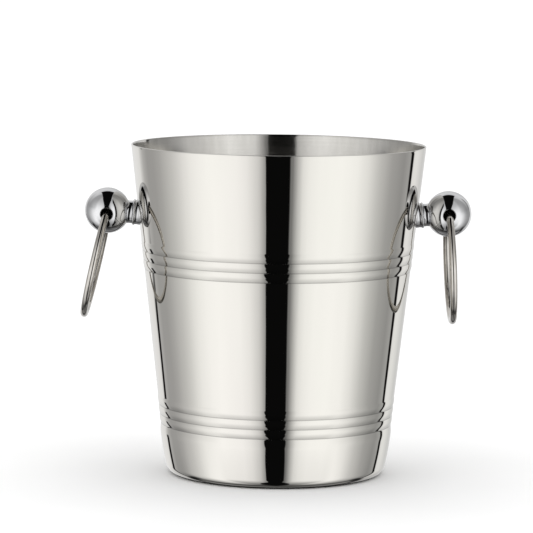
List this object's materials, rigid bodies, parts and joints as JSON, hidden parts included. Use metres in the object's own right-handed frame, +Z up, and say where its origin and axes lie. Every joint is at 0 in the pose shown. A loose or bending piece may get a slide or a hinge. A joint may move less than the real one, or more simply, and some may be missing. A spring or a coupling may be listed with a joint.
{
  "type": "champagne bucket",
  "caption": "Tapered polished steel wine bucket with rolled bands, ball knobs at the sides and loose ring handles that swing.",
  "frame": {"origin": "centre of the flat underside, on the bucket's axis", "axes": "+Z up along the bucket's axis, +X through the two knobs to the viewer's right, -Y towards the viewer"},
  "size_m": [0.265, 0.2, 0.224],
  "materials": {
    "polished_steel": "mirror polished outside, satin inside",
    "chrome": "bright chrome plate",
    "ring_steel": "drawn and polished wire",
    "plain_steel": "plain bright",
    "seal_rubber": "matte"
  },
  "bodies": {
    "bucket": {"body_shell": "polished_steel", "left_ball_knob": "chrome", "left_neck_collar": "chrome", "left_screw": "plain_steel", "left_lock_washer": "plain_steel", "left_flat_washer": "plain_steel", "left_saddle_washer": "seal_rubber", "right_ball_knob": "chrome", "right_neck_collar": "chrome", "right_screw": "plain_steel", "right_lock_washer": "plain_steel", "right_flat_washer": "plain_steel", "right_saddle_washer": "seal_rubber"},
    "left_ring": {"left_ring": "ring_steel"},
    "right_ring": {"right_ring": "ring_steel"}
  },
  "joints": [
    {"name": "left_ring_swing", "type": "hinge", "parent": "bucket", "child": "left_ring", "pos_m": [-0.11575, 0, 0.17819], "axis": [0.0061, 0.9951, 0.0991], "range_deg": [-31.3, 187.7]},
    {"name": "right_ring_swing", "type": "hinge", "parent": "bucket", "child": "right_ring", "pos_m": [0.11575, 0, 0.17819], "axis": [0, -1, 0], "range_deg": [-23.2, 198.8]}
  ]
}
